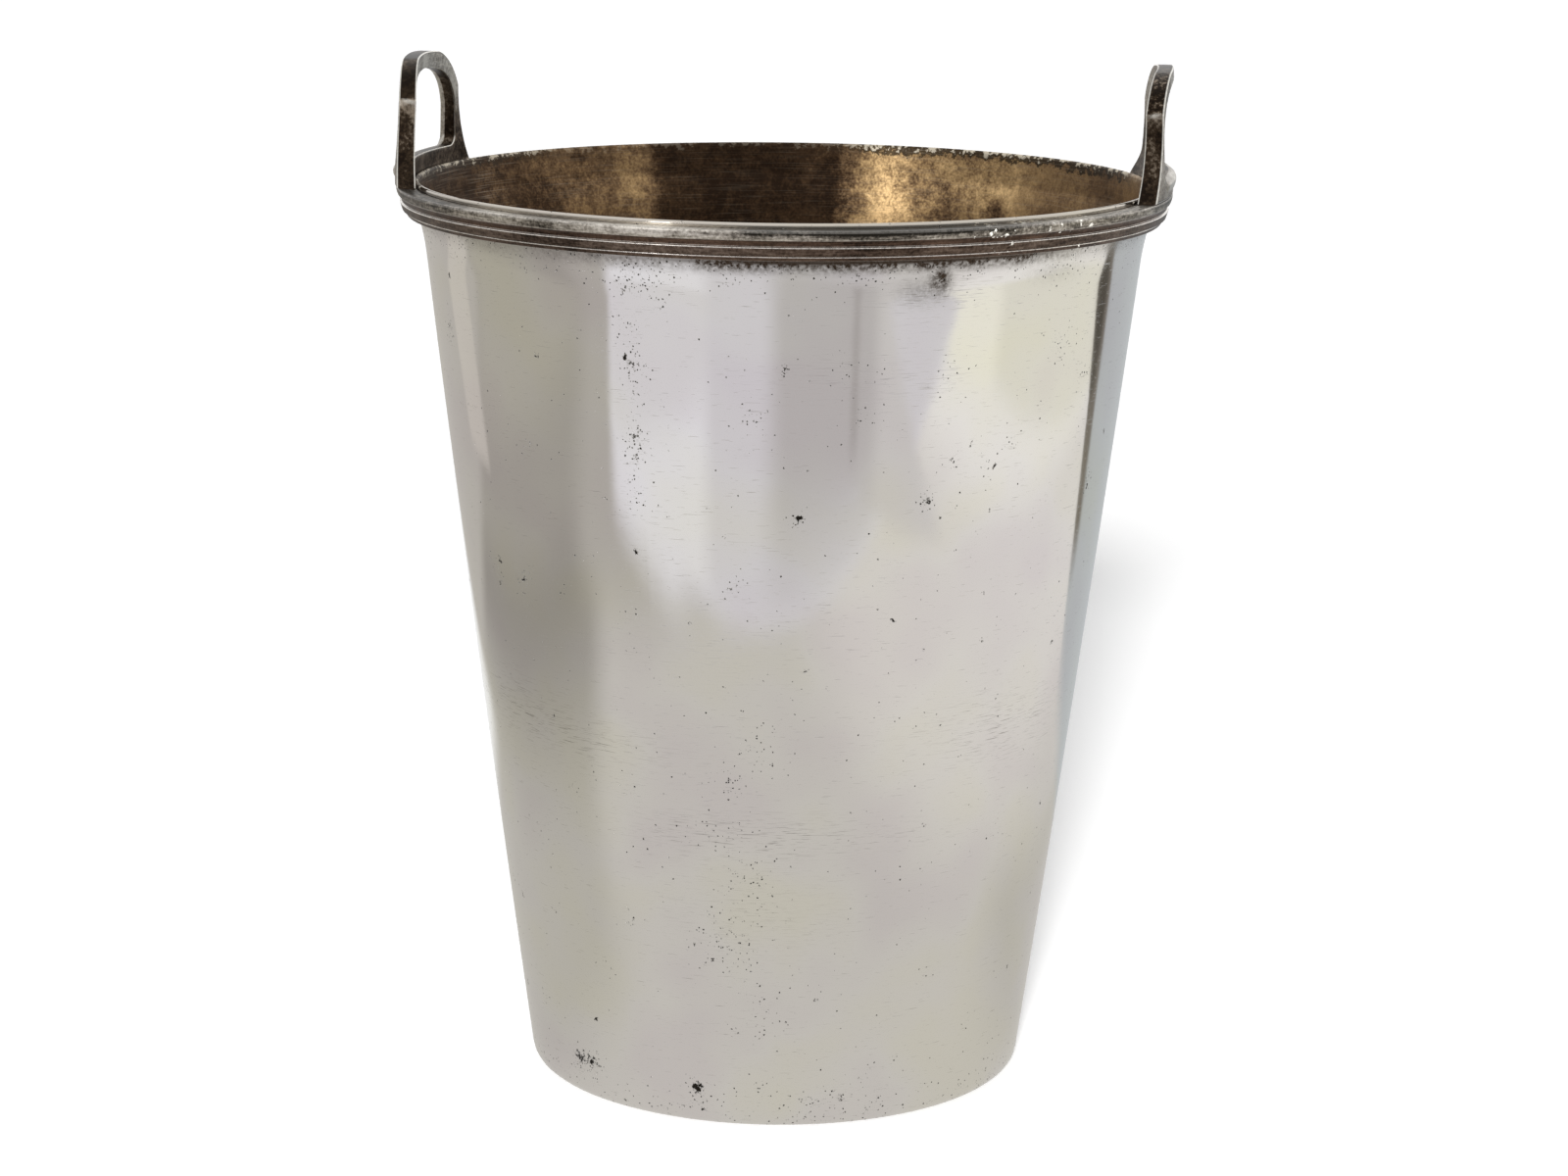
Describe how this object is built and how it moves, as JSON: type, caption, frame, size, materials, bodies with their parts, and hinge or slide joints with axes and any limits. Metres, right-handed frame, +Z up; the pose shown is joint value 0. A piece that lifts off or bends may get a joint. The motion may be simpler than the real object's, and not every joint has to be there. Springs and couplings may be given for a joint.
{
  "type": "champagne bucket",
  "caption": "Tapered champagne bucket of worn silver-plated brass with a reeded moulding round the lip and upright arch handles.",
  "frame": {"origin": "middle of the ring that the bucket stands on, at the height of the table", "axes": "+Z up, +X towards the right handle, -Y towards the camera"},
  "size_m": [0.2036, 0.2008, 0.2667],
  "materials": {
    "wall_plate": "brass sheet with worn, pitted silver plate outside and tarnished brown and gold inside",
    "rim_plate": "drawn brass moulding with oxidised silver plate, bright on its edges and coppery in its grooves",
    "handle_plate": "cast brass with oxidised silver plate, dark brown on the ends and polished on the edges",
    "soft_solder": "dull grey soft solder"
  },
  "bodies": {
    "root": {"body_wall": "wall_plate", "side_seam": "soft_solder", "base_pan": "wall_plate", "base_seam": "soft_solder", "rim_moulding": "rim_plate", "rim_moulding_joint": "soft_solder", "rim_solder": "soft_solder", "handle_left": "handle_plate", "handle_right": "handle_plate", "handle_solder_left": "soft_solder", "handle_solder_right": "soft_solder"}
  },
  "joints": []
}
